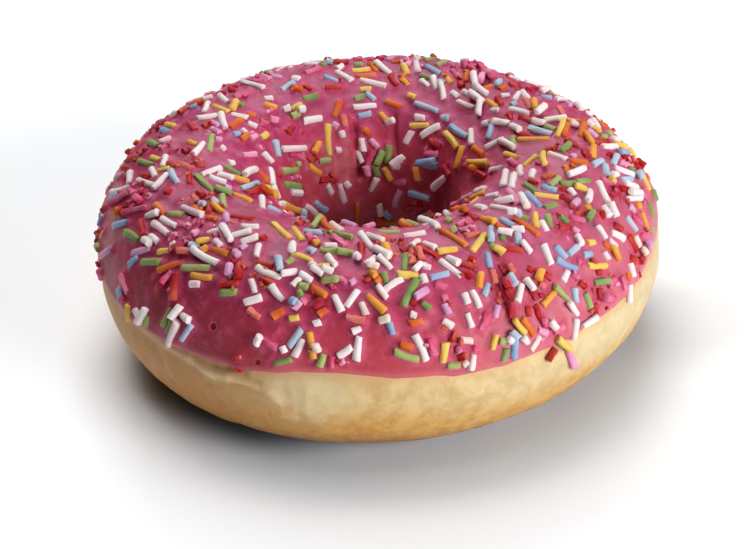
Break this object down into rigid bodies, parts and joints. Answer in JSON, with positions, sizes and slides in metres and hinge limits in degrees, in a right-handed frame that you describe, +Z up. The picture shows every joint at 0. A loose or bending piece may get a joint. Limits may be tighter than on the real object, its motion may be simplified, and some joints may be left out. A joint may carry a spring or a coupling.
{
  "type": "iced ring doughnut",
  "caption": "Fried ring doughnut with pink icing over its upper half and multicoloured sugar strands.",
  "frame": {"origin": "middle of the ring on the surface it stands on", "axes": "+Z up along the hole, +X to the right and -Y to the front as pictured"},
  "size_m": [0.0894, 0.0903, 0.0336],
  "materials": {
    "dough": "dry fried crust, pale under the icing and golden below",
    "icing": "satin pink sugar icing",
    "strands_white": "matt sugar",
    "strands_pink": "matt sugar",
    "strands_red": "matt sugar",
    "strands_orange": "matt sugar",
    "strands_yellow": "matt sugar",
    "strands_green": "matt sugar",
    "strands_blue": "matt sugar",
    "strands_lilac": "matt sugar"
  },
  "bodies": {
    "root": {"dough": "dough", "icing": "icing"}
  },
  "joints": []
}
